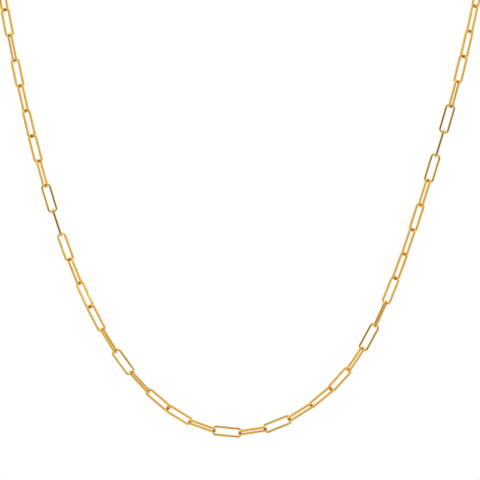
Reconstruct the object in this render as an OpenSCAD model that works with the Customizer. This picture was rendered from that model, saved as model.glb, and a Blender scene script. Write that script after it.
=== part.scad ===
// Choker: a fine gold neck chain of long oval wire links, hanging in the form in which it is worn.
// +Z is up and the front of the chain faces -Y. The origin is in the middle of the neck, level with
// the bends where the two sides of the front turn round it.

/* [Link] */
// Distance from each link to the next along the chain
link_pitch = 5; // [4.8:0.05:5.2]
// Thickness of the links' square wire
link_wire = 0.4; // [0.34:0.01:0.42]
// Width of a link, from the middle of one long wire to the middle of the other
link_width = 1.6; // [1.5:0.05:1.75]
// Radius of a link's corners, at the middle of the wire
link_corner = 0.5; // [0.4:0.05:0.6]
// Air between the end wires of two links that hang in each other
link_gap = 0.19; // [0.15:0.01:0.22]

/* [Chain] */
// Links in the left half
links_left = 39; // [38:1:41]
// Links in the right half, which starts with the lowest link of the chain
links_right = 41; // [40:1:43]

/* [Hang] */
// Where the two halves hang in each other, at the bottom of the front
meet_point = [-5, -50, -85.3]; // [-100:0.1:100]
// Distance along the chain from there to its lowest point, in links
low_shift = 0.87; // [0.5:0.01:1.2]
// Flatness of the hanging curve, in links: at so many links from its lowest point it slopes by 45 degrees
sag = 3.87; // [3.5:0.01:4.2]
// Links on each side from the lowest point to the top of the front
front_links = 20.5; // [20:0.5:22]
// Lean of the front from upright, towards the neck
front_lean = 12; // [5:1:20]
// Links in the bend from each side of the front to the side of the neck
bend_links = 4.5; // [4:0.5:6]

/* [Neck] */
// Rise of the chain round the neck, towards the nape
neck_rise = 15; // [5:1:25]
// Outward slant of the chain as it starts round the neck
neck_flare = 10; // [5:1:15]

/* [Clasp] */
// Thickness of the two jump rings' wire
jump_wire = 0.5; // [0.4:0.05:0.6]
// Radius of the jump rings, at the middle of the wire
jump_radius = 1.35; // [1.25:0.05:1.5]
// Thickness of the clasp's round tube
clasp_tube = 1.1; // [0.9:0.05:1.2]
// Radius of the clasp, at the middle of the tube
clasp_radius = 2.2; // [2.1:0.05:2.5]
// Thickness of the wire of the clasp's eye
eye_wire = 0.6; // [0.5:0.05:0.7]
// Radius of the clasp's eye, at the middle of the wire
eye_radius = 0.9; // [0.85:0.05:1.1]
// Width of the clasp's small thumb knob
knob_width = 0.7; // [0.5:0.1:0.9]
// Length of the clasp's thumb knob, out from the middle of the tube
knob_length = 1.3; // [1:0.1:1.5]

/* [Hidden] */
$fn = 24;

// Columns of the two tables below
LEFT = 1;
RIGHT = 2;

// How the front lies beside a plain hanging curve.
// Columns: links up from the lowest point, degrees of slope added on the left, added on the right
LIE = [
    [0, 0, 0],
    [2, 0.5, -1],
    [4, -1, -4],
    [6, -0.5, 1.5],
    [8, 0.5, 2.5],
    [11, 0.5, 1],
    [15, 0.5, -2.5],
    [20, 0.5, -1]
];

// How far each link of the front is turned about the chain, in degrees, where 0 is face on.
// Columns: link counted up from the meeting point, turn in the left half, turn in the right half
TURNS = [
    [0, 65, -15],
    [1, -40, 65],
    [2, 40, -20],
    [3, -75, 60],
    [4, 15, -55],
    [5, -75, 35],
    [6, 35, -70],
    [7, -40, 10],
    [8, 60, 75],
    [9, -30, -30],
    [10, 90, 45],
    [11, 10, -55],
    [12, -65, 35],
    [13, 30, -65],
    [14, -40, 10],
    [15, 55, 90],
    [16, -35, -10],
    [17, 65, 65],
    [18, -35, -35],
    [19, 45, 40],
    [20, -45, -55]
];
// Turn of the links past the table, to one side and the other in turn
HIDDEN_TURN = 45;
// Turns of the jump rings and of the clasp
JUMP_TURN = 40;
CLASP_TURN = -60;

// Length of a link between the middles of its two end wires
link_length = link_pitch + link_wire + link_gap;
// How far the end wire of a link reaches past the point where it meets the next
link_reach = (link_length - link_pitch) / 2;

// Places along the line of the clasp, from the end of the right half to the end of the left half
right_jump_at = link_reach - (link_wire + jump_wire) / 2 - link_gap + jump_radius;
clasp_at = right_jump_at + jump_radius - (jump_wire + clasp_tube) / 2 - link_gap + clasp_radius;
eye_at = clasp_at + clasp_radius + eye_radius;
left_jump_at = eye_at + eye_radius - (jump_wire + eye_wire) / 2 - link_gap + jump_radius;
clasp_span = left_jump_at + right_jump_at;

front_face = [0, -cos(front_lean), sin(front_lean)];
neck_face = [0, -sin(neck_rise), cos(neck_rise)];

function unit(v) = v / norm(v);

// The direction at a share of the turn from one direction to another
function between(from, to, share) =
    let (turn = acos(from * to))
    (sin((1 - share) * turn) * from + sin(share * turn) * to) / sin(turn);

function links(side) = side == LEFT ? links_left : links_right;

// Distance of a link's middle from the lowest point along the chain, in links.
// Both sides run up from the meeting point, which is left of the lowest point.
function station(link, side) = link + 0.5 + (side == LEFT ? low_shift : -low_shift);

function end_station(side) = station(links(side) - 0.5, side);

// Distance along the chain from the lowest point to the nape, in links
half_loop = (end_station(LEFT) + end_station(RIGHT) + clasp_span / link_pitch) / 2;
neck_start = front_links + bend_links;

// 0 on the front, 1 round the neck, and a share of the bend between them
function bend_share(s) = min(1, max(0, (s - front_links) / bend_links));

function front_slope(s, side) = atan(s / sag) + lookup(s, [for (row = LIE) [row[0], row[side]]]);

function front_way(s, side) =
    let (slope = front_slope(s, side))
    [cos(slope), sin(slope) * sin(front_lean), sin(slope) * cos(front_lean)];

// Direction of the chain round the neck: heading 0 is straight back, 90 is across the nape
function neck_way(heading) =
    [-sin(heading), cos(heading) * cos(neck_rise), cos(heading) * sin(neck_rise)];

// A bow over 0 turns the chain more at the sides of the neck, and less at the nape
function heading(s, bow) =
    let (share = (s - neck_start) / (half_loop - neck_start))
    -neck_flare + (90 + neck_flare) * (share + bow * share * (1 - share));

function way(s, side, bow) =
    let (share = bend_share(s))
    share == 0 ? front_way(s, side)
    : share == 1 ? neck_way(heading(s, bow))
    : between(front_way(front_links, side), neck_way(-neck_flare), share);

// Where the links meet, up from the meeting point, as if each side were the right one
function joints(side, bow) =
    let (start = [side == LEFT ? -meet_point.x : meet_point.x, meet_point.y, meet_point.z])
    [for (link = 0, joint = start;
          link <= links(side);
          joint = joint + link_pitch * way(station(link, side), side, bow), link = link + 1) joint];

function end_joint(side, bow) = joints(side, bow)[links(side)];

// The bow that brings the end of a side just short of the nape, by halving the range that holds it
function closing_bow(side, low = -0.9, high = 0.9, tries = 24) =
    let (
        middle = (low + high) / 2,
        wanted = link_pitch * (half_loop - end_station(side))
    )
    tries == 0 ? middle
    : end_joint(side, middle).x > wanted ? closing_bow(side, middle, high, tries - 1)
    : closing_bow(side, low, middle, tries - 1);

bow_left = closing_bow(LEFT);
bow_right = closing_bow(RIGHT);

// Square to the chain, towards the viewer on the front and upwards round the neck
function facing(s, along) =
    let (face = between(front_face, neck_face, bend_share(s)))
    unit(face - (face * along) * along);

function turned(face, along, turn) = cos(turn) * face + sin(turn) * cross(along, face);

function link_turn(link, side) =
    link < len(TURNS) ? TURNS[link][side] : link % 2 == 0 ? -HIDDEN_TURN : HIDDEN_TURN;

// Puts what lies along +X with its face to +Z along another direction, facing another way
module aimed(at, along, face) {
    across = cross(face, along);
    multmatrix([for (i = [0:2]) [along[i], across[i], face[i], at[i]]]) children();
}

module round_ring(radius, wire) {
    rotate_extrude() translate([radius, 0]) circle(d = wire);
}

// The outline of an oval with round corners, long along X
module oval(length, width, corner) {
    square([length - 2 * corner, width], center = true);
    square([length, width - 2 * corner], center = true);
    for (x = [-1, 1], y = [-1, 1])
        translate([x * (length / 2 - corner), y * (width / 2 - corner)]) circle(corner);
}

// A closed oval of square wire, long along X and flat on Z
module oval_link() {
    translate([0, 0, -link_wire / 2]) linear_extrude(link_wire) difference() {
        oval(link_length + link_wire, link_width + link_wire, link_corner + link_wire / 2);
        oval(link_length - link_wire, link_width - link_wire, link_corner - link_wire / 2);
    }
}

// One side of the chain, as if it were the right one
module chain_side(side, bow) {
    ends = joints(side, bow);
    for (link = [0:links(side) - 1]) {
        s = station(link, side);
        along = way(s, side, bow);
        aimed((ends[link] + ends[link + 1]) / 2, along,
              turned(facing(s, along), along, link_turn(link, side)))
            oval_link();
    }
}

// What lies along the line of the clasp, from the end of the right half to the end of the left half
module on_clasp_line(distance, turn) {
    right_end = end_joint(RIGHT, bow_right);
    left_mirrored = end_joint(LEFT, bow_left);
    left_end = [-left_mirrored.x, left_mirrored.y, left_mirrored.z];
    along = unit(left_end - right_end);
    middle = (left_end + right_end) / 2;
    face = unit(neck_face - (neck_face * along) * along);
    aimed(middle + (distance - clasp_span / 2) * along, along, turned(face, along, turn)) children();
}

module chain_left() {
    color("goldenrod") mirror([1, 0, 0]) chain_side(LEFT, bow_left);
}

module chain_right() {
    color("goldenrod") chain_side(RIGHT, bow_right);
}

module jump_ring_left() {
    color("goldenrod") on_clasp_line(left_jump_at, JUMP_TURN) round_ring(jump_radius, jump_wire);
}

module jump_ring_right() {
    color("goldenrod") on_clasp_line(right_jump_at, JUMP_TURN) round_ring(jump_radius, jump_wire);
}

// A plain spring ring: the round tube, the eye soldered to it, and the thumb knob
module clasp() {
    color("goldenrod") on_clasp_line(clasp_at, CLASP_TURN) {
        round_ring(clasp_radius, clasp_tube);
        translate([eye_at - clasp_at, 0, 0]) round_ring(eye_radius, eye_wire);
        translate([0, clasp_radius, 0]) rotate([-90, 0, 0]) cylinder(d = knob_width, h = knob_length);
    }
}

chain_left();
chain_right();
jump_ring_left();
jump_ring_right();
clasp();
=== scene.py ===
"""Fine gold choker of long oval links: the dressed model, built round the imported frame."""
import math
import random

import bmesh
import bpy
import numpy as np
from mathutils import Matrix, Vector


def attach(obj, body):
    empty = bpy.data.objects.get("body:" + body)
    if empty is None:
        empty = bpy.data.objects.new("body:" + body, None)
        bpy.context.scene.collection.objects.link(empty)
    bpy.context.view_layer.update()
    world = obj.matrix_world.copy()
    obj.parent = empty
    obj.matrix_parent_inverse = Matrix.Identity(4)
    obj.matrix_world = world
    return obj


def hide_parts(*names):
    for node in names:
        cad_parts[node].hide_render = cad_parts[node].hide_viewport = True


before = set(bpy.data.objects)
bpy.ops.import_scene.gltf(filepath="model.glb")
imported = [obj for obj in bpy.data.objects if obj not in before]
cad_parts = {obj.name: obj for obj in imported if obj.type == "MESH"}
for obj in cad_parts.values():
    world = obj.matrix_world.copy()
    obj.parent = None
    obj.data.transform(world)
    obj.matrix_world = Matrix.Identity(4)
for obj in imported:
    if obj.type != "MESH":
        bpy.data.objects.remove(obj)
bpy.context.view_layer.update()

MM = 0.001
FULL_TURN = 2 * math.pi
QUARTER_TURN = math.pi / 2
SAME_POINT = 1e-7               # points nearer to each other than this are one point
SAME_TURN = 0.001               # directions nearer to each other than this, in radians, are one
SMOOTH_UNDER = math.radians(40)  # an edge that turns less than this is shaded smooth
SEED = 5                        # of the links' tones, their leans and the way round that they lie

# Sizes that the frame doesn't give: lengths in metres, turns of the clasp in degrees

# Links
LINK_CORNER = 0.5 * MM          # radius of a link's corners, at the middle of the wire
WIRE_EDGE = 0.08 * MM           # softness of the long edges of the square wire
BEND_WIRE = 0.36 * MM           # thickness of the wire at the ends of a link, where it is round
DRAWN_IN = 0.11 * MM            # at each end of a link, so that the links hang closer on each other
CORNER_STEPS = 9                # lengths of wire that make up each corner of a link
EDGE_STEPS = 3                  # faces across each soft edge
FLAT_CUTS = 3                   # lines along each flat
FLAT_SHARE = 0.7                # how much of a long side the flats stay even over
SIDE_LEAN = math.radians(5)     # how far the flats of a long side may lean from the link's own plane
SEAM_HALF = 0.05 * MM           # half the width of the soldered seam in one long side
SEAM_SHRINK = 0.98              # thickness of the wire at the seam, beside the rest
WORN_EDGE = 0.8                 # how much of the soft edge is worn, in from the wire's own corner
CONTACT_SHADE_REACH = 0.4 * MM           # along the end wire, the reach of the painted shade where the next link lies on it
CONTACT_SHADE_STRENGTH = 1.6             # past 1 the painted shade is evenly dark on the inner side

# Jump rings and clasp
RING_STEPS = 96                 # lengths of wire in a whole ring
TUBE_STEPS = 24                 # faces round the wire
END_BEVEL = 1 / 12              # softness of a cut end, beside the wire's thickness
JUMP_SPLIT = 1.2                # opening between the two ends of a jump ring
EYE_WIRE = 0.6 * MM
GATE = (108, 164)               # where the sliding gate closes the clasp, from the eye
GATE_TUCK = 8                   # how far the gate goes on inside the tube at each end
GATE_SHARE = 0.7                # thickness of the gate beside the tube's
SLOT = (38, 82)                 # where the thumb knob slides along the tube
SLOT_FROM = 0.47                # only the tube's outermost faces lie past this share of its thickness
SLOT_DEPTH = 0.3 * MM
SLOT_LIP = 0.03 * MM            # from the edge of the tube's faces to the slot
KNOB_WIDTH = 0.7 * MM
KNOB_ROOT = 0.25                # where the knob starts inside the tube, as a share of its thickness
KNOB_STALK = 0.6                # width of the knob's stalk beside its head
# How the knob is drawn up: share of its height, then how much wider it gets
KNOB_PROFILE = ((0.45, 1), (0.05, 1.5), (0.1, 1.11), (0.22, 1), (0.1, 0.92), (0.05, 0.8), (0.03, 0.6))

# The two golds: the colours that they vary between, and their roughness
LINK_FINISH = {"Deep": (0.95, 0.54, 0.08, 1), "Pale": (1.0, 0.65, 0.14, 1),
               "Smoothest": 0.10, "Roughest": 0.22}
FINDING_FINISH = {"Deep": (0.93, 0.54, 0.09, 1), "Pale": (0.98, 0.65, 0.15, 1),
                  "Smoothest": 0.08, "Roughest": 0.18}
LINK_GRAIN = (0.5, 9, 1)        # polishing marks to the millimetre, along and round the wire
FINDING_GRAIN = (2500, 2500, 2500)  # polishing marks to the metre, all ways alike
CONTACT_SHADE_BROWN = (0.22, 0.12, 0.02, 1)  # painted shade where two links lie on each other: the contact shadow between the wires
TONE_SCALE = 400                # patches of tone to the metre
TONE_CLOUDS = 0.5               # how much of the tone comes from those patches
EDGE_RUB = 0.5                  # how much paler the worn edges are
MARK_HEIGHTS = (0.3, 0.75)      # of the marks, between which the gold goes from smooth to rough
MARK_STRENGTH = 0.15
MARK_DEPTH = 0.01 * MM

# What the gold's surface is given, and what it makes of it
SURFACE_INPUTS = {"Place": "Vector", "Grain": "Vector", "Tone": "Float", "Edge": "Float", "Contact_Shade": "Float",
                  "Deep": "Color", "Pale": "Color", "Smoothest": "Float", "Roughest": "Float"}
SURFACE_OUTPUTS = {"Color": "Color", "Roughness": "Float", "Height": "Float"}

# The photo looks down a little on the front of the chain
VIEW_DOWN = math.radians(12)
VIEW_AWAY = Vector((0, -math.cos(VIEW_DOWN), math.sin(VIEW_DOWN)))
VIEW_MIDDLE = Vector((0, -0.0424, -0.0492))
VIEW_WIDTH = 0.093              # what the view takes in across the front of the chain
VIEW_DISTANCE = 0.9
SENSOR_WIDTH = 36               # in millimetres, as the lens
NEAREST_SEEN = 0.01
FLOOR_SIDE = 16
FLOOR_HEIGHT = -0.9
FLOOR_GREY = 0.85
FLOOR_ROUGHNESS = 0.9
FLOOR_GLOSS = 0.1

# The tent's tone by degrees from the photo's point of view
TENT_TONES = ((0, 0.14), (19, 0.17), (31, 0.68), (50, 0.80), (75, 0.86), (110, 0.90), (150, 1), (180, 1))
TENT_STRENGTH = 1.0
# The soft boxes: place, and strength in watts
SOFT_BOXES = {"left_box": ((-0.8, -0.5, 0.7), 0.5), "right_box": ((0.8, -0.4, 0.6), 0.4)}
BOX_SIDE = 0.35


# Hand tools

def only(*pieces):
    """Selects these objects alone, with the first one active."""
    if bpy.context.mode != "OBJECT":
        bpy.ops.object.mode_set(mode="OBJECT")
    bpy.ops.object.select_all(action="DESELECT")
    for piece in pieces:
        piece.select_set(True)
    bpy.context.view_layer.objects.active = pieces[0]


def new_piece(add_primitive, name, **sizes):
    """Adds a primitive with nothing else selected, and keeps its place in its mesh."""
    bpy.ops.object.select_all(action="DESELECT")
    add_primitive(**sizes)
    piece = bpy.context.object
    piece.name = name
    bpy.ops.object.transform_apply(location=True, rotation=True, scale=True)
    return piece


def edit(piece):
    """Opens a piece in edit mode with all of it selected."""
    only(piece)
    bpy.ops.object.mode_set(mode="EDIT")
    bpy.ops.mesh.select_mode(type="VERT")
    bpy.ops.mesh.select_all(action="SELECT")


def pick(piece, kind, wanted):
    """Selects the vertices, edges or faces of the piece in edit mode for which wanted is true."""
    bpy.ops.mesh.select_mode(type=kind)
    bpy.ops.mesh.select_all(action="DESELECT")
    shape = bmesh.from_edit_mesh(piece.data)
    shape.normal_update()
    for part in {"VERT": shape.verts, "EDGE": shape.edges, "FACE": shape.faces}[kind]:
        part.select_set(bool(wanted(part)))
    shape.select_flush_mode()
    bmesh.update_edit_mesh(piece.data)


def draw_out(x, y, z):
    """Extrudes what is selected along a straight line."""
    bpy.ops.mesh.extrude_region_move(TRANSFORM_OT_translate={"value": (x, y, z)})


def close_up(piece):
    """Merges doubled points, turns every face outwards and leaves edit mode."""
    edit(piece)
    bpy.ops.mesh.remove_doubles(threshold=SAME_POINT)
    bpy.ops.mesh.normals_make_consistent(inside=False)
    bpy.ops.object.mode_set(mode="OBJECT")


def seat(piece, where):
    """Carries a piece made at the origin to its place, and keeps the place in its mesh."""
    only(piece)
    piece.matrix_world = where
    bpy.ops.object.transform_apply(location=True, rotation=True, scale=True)


def smoothed(piece):
    """Shades a piece smooth, apart from its sharp edges."""
    only(piece)
    bpy.ops.object.shade_smooth_by_angle(angle=SMOOTH_UNDER)
    return piece


def joined(pieces, name):
    """Makes several objects one piece."""
    only(*pieces)
    bpy.ops.object.join()
    whole = bpy.context.object
    whole.name = name
    whole.data.name = name
    return smoothed(whole)


# What the frame says

def loose_solids(node):
    """The triangles of each loose solid of a CAD node, from a merged copy of its mesh."""
    shape = bmesh.new()
    shape.from_mesh(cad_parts[node].data)
    bmesh.ops.remove_doubles(shape, verts=shape.verts, dist=SAME_POINT)
    bmesh.ops.triangulate(shape, faces=shape.faces)
    waiting, solids = set(shape.faces), []
    for first in shape.faces:
        if first not in waiting:
            continue
        waiting.remove(first)
        solid, heap = [], [first]
        while heap:
            face = heap.pop()
            solid.append([vert.co[:] for vert in face.verts])
            for edge in face.edges:
                for other in edge.link_faces:
                    if other in waiting:
                        waiting.remove(other)
                        heap.append(other)
        solids.append(np.array(solid, dtype=float))
    shape.free()
    return solids


def measured(corners):
    """Centre, axes and extents of a surface from its triangles: longest axis first."""
    sides = np.cross(corners[:, 1] - corners[:, 0], corners[:, 2] - corners[:, 0])
    areas = np.linalg.norm(sides, axis=1) / 2
    totals = corners.sum(axis=1)
    centre = (areas[:, None] * totals).sum(axis=0) / 3 / areas.sum()
    moments = sum(np.einsum("t,ti,tj->ij", areas, p, p) for p in (*corners.transpose(1, 0, 2), totals))
    axes = np.linalg.eigh(moments / 12 / areas.sum() - np.outer(centre, centre))[1][:, ::-1].T
    axes[2] = np.cross(axes[0], axes[1])
    reach = (corners.reshape(-1, 3) - centre) @ axes.T
    low, high = reach.min(axis=0), reach.max(axis=0)
    return centre + (low + high) / 2 @ axes, axes, high - low


def place(centre, along, across, face):
    """The place of a piece made at the origin: where its middle and its X, Y and Z go."""
    turn = Matrix([along, across, face]).transposed()
    return Matrix.Translation(Vector(centre)) @ turn.to_4x4()


# One link, flat on Z and long on X. Its bends start at turn_x and turn_y from its middle.

def cut_section(link, wire):
    """Makes the outline of the wire's section out of a square: round corners, divided flats, no face."""
    edit(link)
    bpy.ops.mesh.bevel(offset=WIRE_EDGE, segments=EDGE_STEPS, affect="VERTICES")
    pick(link, "EDGE", lambda e: e.calc_length() > wire / 2)
    bpy.ops.mesh.subdivide(number_cuts=FLAT_CUTS)
    bpy.ops.mesh.select_all(action="SELECT")
    bpy.ops.mesh.delete(type="ONLY_FACE")


def draw_quarter(link, turn_x, turn_y):
    """Draws a quarter of the link from its section, which is in the middle of a long side."""
    bpy.ops.mesh.select_all(action="SELECT")
    for step in (SEAM_HALF, FLAT_SHARE * turn_x - SEAM_HALF, (1 - FLAT_SHARE) * turn_x):
        draw_out(step, 0, 0)
    bpy.ops.mesh.spin(steps=CORNER_STEPS, angle=QUARTER_TURN, center=(turn_x, turn_y, 0), axis=(0, 0, 1))
    draw_out(0, -turn_y, 0)


def round_off(middle, share, half_wire):
    """Brings the picked ring of points towards the round, thinner wire of a link's end."""
    slim = 1 - share * (1 - BEND_WIRE / 2 / half_wire)
    bpy.ops.transform.tosphere(value=share, center_override=middle)
    bpy.ops.transform.resize(value=(slim, slim, slim), center_override=middle)


def round_bend(link, turn_x, turn_y, half_wire):
    """Makes each ring of points in the bend rounder than the last, up to the middle of the end."""
    for step in range(1, CORNER_STEPS + 1):
        turn = QUARTER_TURN * step / CORNER_STEPS
        pick(link, "VERT", lambda v: abs(math.atan2(v.co.x - turn_x, v.co.y - turn_y) - turn) < SAME_TURN)
        middle = (turn_x + LINK_CORNER * math.sin(turn), turn_y + LINK_CORNER * math.cos(turn), 0)
        round_off(middle, math.sin(turn), half_wire)
    pick(link, "VERT", lambda v: abs(v.co.y) < turn_y / 2)
    round_off((turn_x + LINK_CORNER, 0, 0), 1, half_wire)


def make_link(length, width, wire):
    """A long oval of wire: pressed square along its sides, and round at its bends."""
    side = (width - wire) / 2
    turn_x, turn_y = (length - wire) / 2 - LINK_CORNER, side - LINK_CORNER
    link = new_piece(bpy.ops.mesh.primitive_plane_add, "link",
                     size=wire, location=(0, side, 0), rotation=(0, QUARTER_TURN, 0))
    cut_section(link, wire)
    section = bmesh.from_edit_mesh(link.data).verts
    half_wire = sum(math.hypot(vert.co.y - side, vert.co.z) for vert in section) / len(section)
    draw_quarter(link, turn_x, turn_y)
    round_bend(link, turn_x, turn_y, half_wire)
    bpy.ops.object.mode_set(mode="OBJECT")
    mirror = link.modifiers.new("other_quarters", "MIRROR")
    mirror.use_axis = (True, True, False)
    mirror.merge_threshold = SAME_POINT
    bpy.ops.object.modifier_apply(modifier=mirror.name)
    # The soldered seam is a little thinner than the wire
    edit(link)
    pick(link, "VERT", lambda v: abs(v.co.x) < SEAM_HALF / 2 and v.co.y > 0)
    bpy.ops.transform.resize(value=(1, SEAM_SHRINK, SEAM_SHRINK), center_override=(0, side, 0))
    close_up(link)
    map_wire(link, turn_x, turn_y, wire)
    mark_wear_and_contact_shade(link, turn_x, turn_y, wire)
    return link


def spot_on_wire(point, turn_x, turn_y):
    """How far round the link a point is, along the wire, and how far out from the wire's middle."""
    near = Vector((max(-turn_x, min(turn_x, point.x)), max(-turn_y, min(turn_y, point.y))))
    out = Vector((point.x, point.y)) - near
    turn = math.atan2(out.y, out.x) % FULL_TURN
    straights = (2 * turn_y, 2 * turn_x, 2 * turn_y, 2 * turn_x)
    straight = round(turn / QUARTER_TURN)
    if abs(turn - straight * QUARTER_TURN) < SAME_TURN:
        straight %= 4
        turn = straight * QUARTER_TURN
        begun = (near.y + turn_y, turn_x - near.x, turn_y - near.y, near.x + turn_x)[straight]
        passed = sum(straights[:straight]) + begun
    else:
        passed = sum(straights[:int(turn / QUARTER_TURN) + 1])
    return passed + LINK_CORNER * turn, out.length - LINK_CORNER


def map_wire(link, turn_x, turn_y, wire):
    """Maps a link along and round its wire, in millimetres."""
    def nearest(value, middle, period):
        return value - period * round((value - middle) / period)

    whole = 4 * (turn_x + turn_y) + FULL_TURN * LINK_CORNER
    along = link.data.uv_layers.new(name="along_wire")
    for face in link.data.polygons:
        face_way, face_out = spot_on_wire(face.center, turn_x, turn_y)
        face_turn = math.atan2(face.center.z, face_out) / FULL_TURN
        for corner in face.loop_indices:
            point = link.data.vertices[link.data.loops[corner].vertex_index].co
            way, out = spot_on_wire(point, turn_x, turn_y)
            way = nearest(way, face_way, whole)
            turn = nearest(math.atan2(point.z, out) / FULL_TURN, face_turn, 1)
            along.data[corner].uv = (way / MM, turn * 4 * wire / MM)


def give_values(piece, name, values):
    """Gives each point of a piece a value, which its material reads by this name."""
    piece.data.attributes.new(name, "FLOAT", "POINT").data.foreach_set("value", values)


def mark_wear_and_contact_shade(link, turn_x, turn_y, wire):
    """Marks the worn long edges of a link, and the painted shade where the next links lie on it."""
    flat = wire / 2 - WORN_EDGE * WIRE_EDGE
    edges, contact_shades = [], []
    for vert in link.data.vertices:
        out = spot_on_wire(vert.co, turn_x, turn_y)[1]
        edges.append(float(abs(out) > flat and abs(vert.co.z) > flat))
        # Painted shade: darkest on the inner side of the end wire, at its middle, where the next link
        # lies
        near = max(0, 1 - abs(vert.co.y) / CONTACT_SHADE_REACH) if abs(vert.co.x) > turn_x else 0
        inward = 0.5 - out / BEND_WIRE
        contact_shades.append(min(1, CONTACT_SHADE_STRENGTH * near * inward))
    give_values(link, "edge", edges)
    give_values(link, "contact_shade", contact_shades)


def lean_sides(link, length, width, wire, chance):
    """Turns the flats of each long side a little out of the link's plane, as pressed links are."""
    even = FLAT_SHARE * (length / 2 - LINK_CORNER)
    edit(link)
    for side in (-1, 1):
        pick(link, "VERT", lambda v: v.co.y * side > 0 and abs(v.co.x) < even)
        bpy.ops.transform.rotate(value=chance.uniform(-SIDE_LEAN, SIDE_LEAN), orient_axis="X",
                                 center_override=(0, side * (width - wire) / 2, 0))
    bpy.ops.object.mode_set(mode="OBJECT")


def make_chain(node, chance):
    """One half of the chain: a copy of the link in each solid's place, with a tone of its own."""
    solids = [measured(corners) for corners in loose_solids(node)]
    length, width, wire = solids[0][2].tolist()
    model = make_link(length - 2 * DRAWN_IN, width, wire)
    links = []
    for centre, axes, _ in solids:
        link = model.copy()
        link.data = model.data.copy()
        bpy.context.collection.objects.link(link)
        give_values(link, "tone", [chance.random()] * len(link.data.vertices))
        lean_sides(link, length, width, wire, chance)
        # Either end may be first, and either side in front
        long_way, flat_way = chance.choice((-1, 1)), chance.choice((-1, 1))
        seat(link, place(centre, long_way * axes[0], long_way * flat_way * axes[1], flat_way * axes[2]))
        links.append(link)
    bpy.data.objects.remove(model)
    return joined(links, node + "_links")


# Jump rings and clasp

def spun_wire(name, radius, wire, first=0.0, last=360.0):
    """Round wire spun into a ring or an arc about Z, between two turns in degrees, with closed ends."""
    ring = new_piece(bpy.ops.mesh.primitive_circle_add, name, vertices=TUBE_STEPS, radius=wire / 2,
                     location=(radius, 0, 0), rotation=(QUARTER_TURN, 0, 0))
    edit(ring)
    bpy.ops.transform.rotate(value=-math.radians(first), orient_axis="Z", center_override=(0, 0, 0))
    sweep = last - first
    bpy.ops.mesh.spin(steps=round(RING_STEPS * sweep / 360), angle=math.radians(sweep),
                      center=(0, 0, 0), axis=(0, 0, -1))
    if sweep < 360:
        bpy.ops.mesh.select_all(action="SELECT")
        bpy.ops.mesh.fill_holes(sides=0)
        pick(ring, "EDGE", lambda e: any(len(face.verts) == TUBE_STEPS for face in e.link_faces))
        bpy.ops.mesh.bevel(offset=wire * END_BEVEL, segments=2, affect="EDGES")
    close_up(ring)
    return ring


def make_jump_ring(node):
    """A ring of round wire with its two ends pressed together."""
    centre, axes, size = measured(loose_solids(node)[0])
    wire = size[2]
    ring = spun_wire(node + "_wire", (size[0] - wire) / 2, wire, JUMP_SPLIT / 2, 360 - JUMP_SPLIT / 2)
    seat(ring, place(centre, *axes))
    return smoothed(ring)


def make_knob(foot, top):
    """The thumb knob along Y: a thin stalk with a small round head, drawn up from a disc."""
    knob = new_piece(bpy.ops.mesh.primitive_circle_add, "knob", vertices=TUBE_STEPS,
                     fill_type="NGON", radius=KNOB_WIDTH / 2 * KNOB_STALK,
                     location=(0, foot, 0), rotation=(-QUARTER_TURN, 0, 0))
    edit(knob)
    height = foot
    for rise, spread in KNOB_PROFILE:
        draw_out(0, (top - foot) * rise, 0)
        height += (top - foot) * rise
        bpy.ops.transform.resize(value=(spread, 1, spread), center_override=(0, height, 0))
    close_up(knob)
    return knob


def cut_slot(tube, radius, wire):
    """Sinks the narrow slot that the thumb knob slides in, along the outside of the tube."""
    def in_slot(face):
        middle = face.calc_center_median()
        turn = math.degrees(math.atan2(middle.y, middle.x))
        return SLOT[0] < turn < SLOT[1] and math.hypot(middle.x, middle.y) > radius + SLOT_FROM * wire

    edit(tube)
    pick(tube, "FACE", in_slot)
    bpy.ops.mesh.inset(thickness=SLOT_LIP, depth=0)
    bpy.ops.mesh.extrude_region_shrink_fatten(TRANSFORM_OT_shrink_fatten={"value": -SLOT_DEPTH})
    bpy.ops.object.mode_set(mode="OBJECT")


def make_clasp(node):
    """A spring ring: the tube, its gate, slot and thumb knob, and the eye soldered to it."""
    right_ring, left_ring = (Vector(measured(loose_solids(ring)[0])[0])
                             for ring in ("jump_ring_right", "jump_ring_left"))
    corners = loose_solids(node)[0]
    face = Vector(measured(corners)[1][2])
    along = (left_ring - right_ring).normalized()
    across = face.cross(along).normalized()
    # The knob makes one side of the clasp the heavier, and that side is across
    points = corners.reshape(-1, 3) - np.array(right_ring)
    if (points @ np.array(across)).sum() < 0:
        across, face = -across, -face
    reach = points @ np.array([along, across, face]).T
    low, high = reach.min(axis=0).tolist(), reach.max(axis=0).tolist()
    wire = high[2] - low[2]
    radius = -low[1] - wire / 2
    middle = low[0] + radius + wire / 2
    eye_radius = (high[0] - middle - radius - EYE_WIRE / 2) / 2

    tube = spun_wire("tube", radius, wire, GATE[1], GATE[0] + 360)
    cut_slot(tube, radius, wire)
    gate = spun_wire("gate", radius, wire * GATE_SHARE, GATE[0] - GATE_TUCK, GATE[1] + GATE_TUCK)
    eye = spun_wire("eye", eye_radius, EYE_WIRE)
    eye.location.x = radius + eye_radius
    knob = make_knob(radius + wire * KNOB_ROOT, high[1])
    clasp = joined([tube, gate, eye, knob], "clasp_ring")
    seat(clasp, place(right_ring + middle * along, along, across, face))
    return clasp


# Finishes

def add_node(tree, kind, inputs=None, **settings):
    """A new shader node with its settings, and the values of its unlinked inputs."""
    node = tree.nodes.new(kind)
    for name, value in settings.items():
        setattr(node, name, value)
    for socket, value in (inputs or {}).items():
        node.inputs[socket].default_value = value
    return node


def mix_colours(tree, share, first, second):
    """Mixes the colours that two other nodes put out."""
    mix = add_node(tree, "ShaderNodeMix", data_type="RGBA")
    tree.links.new(share, mix.inputs["Factor"])
    tree.links.new(first, mix.inputs["A"])
    tree.links.new(second, mix.inputs["B"])
    return mix.outputs["Result"]


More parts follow.
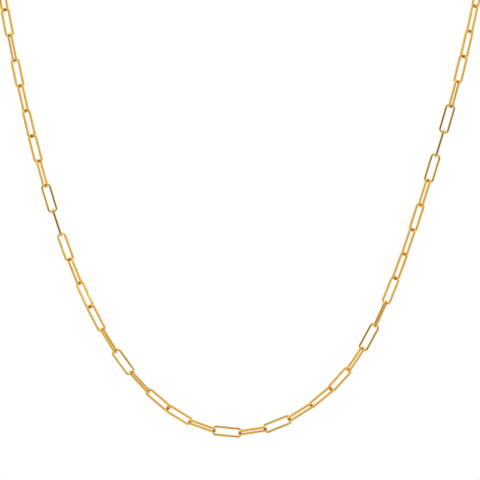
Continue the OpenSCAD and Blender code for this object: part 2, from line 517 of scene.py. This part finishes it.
def gold_surface():
    """What both golds share: patches of tone, worn edges, painted shade where links lie on each other,
    and fine polishing marks.
    """
    group = bpy.data.node_groups.new("gold_surface", "ShaderNodeTree")
    for in_out, sockets in (("INPUT", SURFACE_INPUTS), ("OUTPUT", SURFACE_OUTPUTS)):
        for name, kind in sockets.items():
            group.interface.new_socket(name, in_out=in_out, socket_type="NodeSocket" + kind)
    given = group.nodes.new("NodeGroupInput").outputs
    made = group.nodes.new("NodeGroupOutput").inputs
    link = group.links.new

    clouds = add_node(group, "ShaderNodeTexNoise", {"Scale": TONE_SCALE, "Detail": 3.0})
    link(given["Place"], clouds.inputs["Vector"])
    cloud_part = add_node(group, "ShaderNodeMath", {1: TONE_CLOUDS}, operation="MULTIPLY")
    link(clouds.outputs["Fac"], cloud_part.inputs[0])
    share = add_node(group, "ShaderNodeMath", {1: 1 - TONE_CLOUDS}, operation="MULTIPLY_ADD")
    link(given["Tone"], share.inputs[0])
    link(cloud_part.outputs[0], share.inputs[2])
    tint = mix_colours(group, share.outputs[0], given["Deep"], given["Pale"])
    rub = add_node(group, "ShaderNodeMath", {1: EDGE_RUB}, operation="MULTIPLY")
    link(given["Edge"], rub.inputs[0])
    worn = mix_colours(group, rub.outputs[0], tint, given["Pale"])
    # Painted shade: dark brown where the next link lies on the end wire
    contact_shaded = add_node(group, "ShaderNodeMix", {"B": CONTACT_SHADE_BROWN}, data_type="RGBA")
    link(given["Contact_Shade"], contact_shaded.inputs["Factor"])
    link(worn, contact_shaded.inputs["A"])
    link(contact_shaded.outputs["Result"], made["Color"])

    marks = add_node(group, "ShaderNodeTexNoise", {"Scale": 1.0, "Detail": 4.0})
    link(given["Grain"], marks.inputs["Vector"])
    link(marks.outputs["Fac"], made["Height"])
    rough = add_node(group, "ShaderNodeMapRange",
                     {"From Min": MARK_HEIGHTS[0], "From Max": MARK_HEIGHTS[1]})
    link(marks.outputs["Fac"], rough.inputs["Value"])
    link(given["Smoothest"], rough.inputs["To Min"])
    link(given["Roughest"], rough.inputs["To Max"])
    link(rough.outputs["Result"], made["Roughness"])
    return group


def polished_gold(name, group, finish, grain_scale):
    """A gold with the shared surface. Its tone, and the way its grain runs, are linked afterwards."""
    material = bpy.data.materials.new(name)
    material.use_nodes = True
    tree = material.node_tree
    link = tree.links.new
    shader = tree.nodes["Principled BSDF"]
    shader.inputs["Metallic"].default_value = 1.0
    surface = add_node(tree, "ShaderNodeGroup", finish, node_tree=group)
    where = add_node(tree, "ShaderNodeTexCoord")
    link(where.outputs["Object"], surface.inputs["Place"])
    grain = add_node(tree, "ShaderNodeMapping", {"Scale": grain_scale})
    link(grain.outputs["Vector"], surface.inputs["Grain"])
    link(surface.outputs["Color"], shader.inputs["Base Color"])
    link(surface.outputs["Roughness"], shader.inputs["Roughness"])
    bump = add_node(tree, "ShaderNodeBump", {"Strength": MARK_STRENGTH, "Distance": MARK_DEPTH})
    link(surface.outputs["Height"], bump.inputs["Height"])
    link(bump.outputs["Normal"], shader.inputs["Normal"])
    return material, surface, grain


def make_link_gold(group):
    """The links' gold: each link has a tone of its own, and the marks run along the wire."""
    material, surface, grain = polished_gold("link_gold", group, LINK_FINISH, LINK_GRAIN)
    tree = material.node_tree
    wire = add_node(tree, "ShaderNodeUVMap", uv_map="along_wire")
    tree.links.new(wire.outputs["UV"], grain.inputs["Vector"])
    # Each link's tone, its worn edges and the painted shade where links lie on each other
    for values, socket in (("tone", "Tone"), ("edge", "Edge"), ("contact_shade", "Contact_Shade")):
        read = add_node(tree, "ShaderNodeAttribute", attribute_name=values)
        tree.links.new(read.outputs["Fac"], surface.inputs[socket])
    return material


def make_finding_gold(group):
    """The gold of the jump rings and the clasp: larger patches of tone, and marks that lie all ways."""
    material, surface, grain = polished_gold("finding_gold", group, FINDING_FINISH, FINDING_GRAIN)
    tree = material.node_tree
    where = add_node(tree, "ShaderNodeTexCoord")
    tree.links.new(where.outputs["Object"], grain.inputs["Vector"])
    patches = add_node(tree, "ShaderNodeTexNoise", {"Scale": TONE_SCALE / 2})
    tree.links.new(where.outputs["Object"], patches.inputs["Vector"])
    tree.links.new(patches.outputs["Fac"], surface.inputs["Tone"])
    return material


def dress(piece, node, material):
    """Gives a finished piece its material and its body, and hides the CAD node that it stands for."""
    piece.data.materials.clear()
    piece.data.materials.append(material)
    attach(piece, "root")
    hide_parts(node)


# Floor, camera and light

def white_to_camera(tree, lit, kind, output):
    """The camera sees plain white paper where the gold reflects the shader that is lit."""
    paper = add_node(tree, kind, {"Color": (1, 1, 1, 1)})
    seen = add_node(tree, "ShaderNodeLightPath")
    either = add_node(tree, "ShaderNodeMixShader")
    tree.links.new(seen.outputs["Is Camera Ray"], either.inputs["Fac"])
    tree.links.new(lit.outputs[0], either.inputs[1])
    tree.links.new(paper.outputs[0], either.inputs[2])
    tree.links.new(either.outputs[0], output.inputs["Surface"])


def make_floor():
    """A wide pale floor, well below the choker."""
    floor = new_piece(bpy.ops.mesh.primitive_plane_add, "floor",
                      size=FLOOR_SIDE, location=(0, 0, FLOOR_HEIGHT))
    material = bpy.data.materials.new("pale_floor")
    material.use_nodes = True
    tree = material.node_tree
    shader = tree.nodes["Principled BSDF"]
    shader.inputs["Base Color"].default_value = (FLOOR_GREY, FLOOR_GREY, FLOOR_GREY, 1)
    shader.inputs["Roughness"].default_value = FLOOR_ROUGHNESS
    shader.inputs["Specular IOR Level"].default_value = FLOOR_GLOSS
    white_to_camera(tree, shader, "ShaderNodeEmission", tree.nodes["Material Output"])
    floor.data.materials.append(material)


def make_camera():
    """The photo's view of the front, from far enough away to look nearly flat."""
    camera = bpy.data.objects.new("camera", bpy.data.cameras.new("camera"))
    bpy.context.collection.objects.link(camera)
    camera.location = VIEW_MIDDLE + VIEW_AWAY * VIEW_DISTANCE
    camera.rotation_euler = (-VIEW_AWAY).to_track_quat("-Z", "Y").to_euler()
    camera.data.sensor_width = SENSOR_WIDTH
    camera.data.lens = SENSOR_WIDTH * VIEW_DISTANCE / VIEW_WIDTH
    camera.data.clip_start = NEAREST_SEEN
    bpy.context.scene.camera = camera
    # White stays white, and the gold keeps its own colour
    bpy.context.scene.view_settings.view_transform = "Standard"


def make_tent():
    """A white tent with a dark opening on the side that the photo is taken from."""
    world = bpy.data.worlds.new("tent")
    bpy.context.scene.world = world
    world.use_nodes = True
    tree = world.node_tree
    link = tree.links.new
    tent = tree.nodes["Background"]
    tent.inputs["Strength"].default_value = TENT_STRENGTH
    where = add_node(tree, "ShaderNodeTexCoord")
    toward = add_node(tree, "ShaderNodeVectorMath", {1: VIEW_AWAY}, operation="DOT_PRODUCT")
    link(where.outputs["Generated"], toward.inputs[0])
    angle = add_node(tree, "ShaderNodeMath", operation="ARCCOSINE")
    link(toward.outputs["Value"], angle.inputs[0])
    share = add_node(tree, "ShaderNodeMath", {1: math.pi}, operation="DIVIDE")
    link(angle.outputs[0], share.inputs[0])
    ramp = add_node(tree, "ShaderNodeValToRGB")
    stops = ramp.color_ramp.elements
    while len(stops) < len(TENT_TONES):
        stops.new(0.5)
    for stop, (degrees, grey) in zip(stops, TENT_TONES):
        stop.position = degrees / 180
        stop.color = (grey, grey, grey, 1)
    link(share.outputs[0], ramp.inputs["Fac"])
    link(ramp.outputs["Color"], tent.inputs["Color"])
    white_to_camera(tree, tent, "ShaderNodeBackground", tree.nodes["World Output"])


def make_soft_box(name, at, watts):
    """A square light that faces the middle of the view."""
    light = bpy.data.objects.new(name, bpy.data.lights.new(name, "AREA"))
    bpy.context.collection.objects.link(light)
    light.location = at
    light.rotation_euler = (VIEW_MIDDLE - Vector(at)).to_track_quat("-Z", "Y").to_euler()
    light.data.size = BOX_SIDE
    light.data.energy = watts


# The choker

chance = random.Random(SEED)
surface_group = gold_surface()
link_gold = make_link_gold(surface_group)
finding_gold = make_finding_gold(surface_group)
for node in ("chain_left", "chain_right"):
    dress(make_chain(node, chance), node, link_gold)
for node in ("jump_ring_left", "jump_ring_right"):
    dress(make_jump_ring(node), node, finding_gold)
dress(make_clasp("clasp"), "clasp", finding_gold)

# Its surroundings

make_floor()
make_tent()
for name, (at, watts) in SOFT_BOXES.items():
    make_soft_box(name, at, watts)
make_camera()
